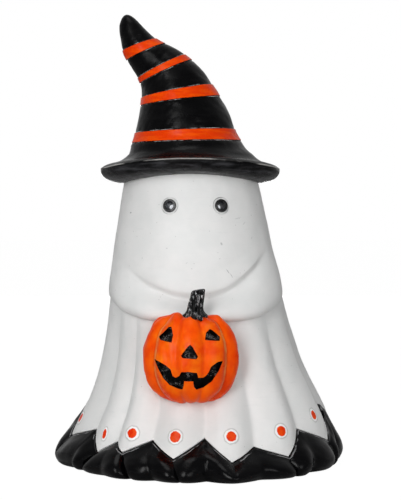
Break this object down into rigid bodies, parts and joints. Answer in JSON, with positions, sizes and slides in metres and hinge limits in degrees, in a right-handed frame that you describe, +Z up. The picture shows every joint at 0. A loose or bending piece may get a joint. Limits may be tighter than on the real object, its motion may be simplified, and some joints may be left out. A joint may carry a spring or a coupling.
{
  "type": "halloween ghost figure",
  "caption": "Lit resin ghost figure in a leaning witch hat, holding a jack-o'-lantern, with a battery box in its base.",
  "frame": {"origin": "on the ground, under the middle of the figure's foot", "axes": "+Z up, the face and the pumpkin look towards -Y, +X is to the right of someone who faces the figure"},
  "size_m": [0.1969, 0.19, 0.3043],
  "materials": {
    "white_resin": "satin",
    "black_resin": "gloss",
    "orange_resin": "satin",
    "clear_epoxy": "gloss",
    "black_plastic": "matte",
    "zinc_screw": "satin",
    "tinned_steel": "satin",
    "cell_wrap": "satin",
    "board_green": "satin",
    "tan_ceramic": "satin",
    "red_wire": "satin",
    "black_wire": "satin"
  },
  "bodies": {
    "figure": {"robe_shell": "white_resin", "hem_skirt": "black_resin", "witch_hat": "black_resin", "pumpkin_stem": "black_resin", "pumpkin": "orange_resin", "eye_led_left": "clear_epoxy", "eye_led_right": "clear_epoxy", "eye_clip_left": "black_plastic", "eye_clip_right": "black_plastic", "base_plate": "black_plastic", "battery_box": "black_plastic", "switch_housing": "black_plastic", "plate_screw_1": "zinc_screw", "plate_screw_2": "zinc_screw", "plate_screw_3": "zinc_screw", "plate_screw_4": "zinc_screw", "box_screw_1": "zinc_screw", "box_screw_2": "zinc_screw", "box_screw_3": "zinc_screw", "box_screw_4": "zinc_screw", "board_screw_1": "zinc_screw", "board_screw_2": "zinc_screw", "contact_positive": "tinned_steel", "contact_bridge_left": "tinned_steel", "contact_bridge_right": "tinned_steel", "contact_negative": "tinned_steel", "battery_1": "cell_wrap", "battery_2": "cell_wrap", "battery_3": "cell_wrap", "circuit_board": "board_green", "resistor_1": "tan_ceramic", "resistor_2": "tan_ceramic", "eye_wire_left_red": "red_wire", "eye_wire_right_red": "red_wire", "battery_lead_red": "red_wire", "eye_wire_left_black": "black_wire", "eye_wire_right_black": "black_wire", "battery_lead_black": "black_wire"},
    "battery_door": {"battery_door": "black_plastic", "door_screw": "zinc_screw"},
    "switch_knob": {"switch_knob": "black_plastic"}
  },
  "joints": [
    {"name": "battery_door_hinge", "type": "hinge", "parent": "figure", "child": "battery_door", "pos_m": [-0.04065, 0, 0.00255], "axis": [0, 1, 0], "range_deg": [0, 95]},
    {"name": "switch_slide", "type": "slide", "parent": "figure", "child": "switch_knob", "axis": [0, 1, 0], "range_m": [-0.002, 0.002]}
  ]
}
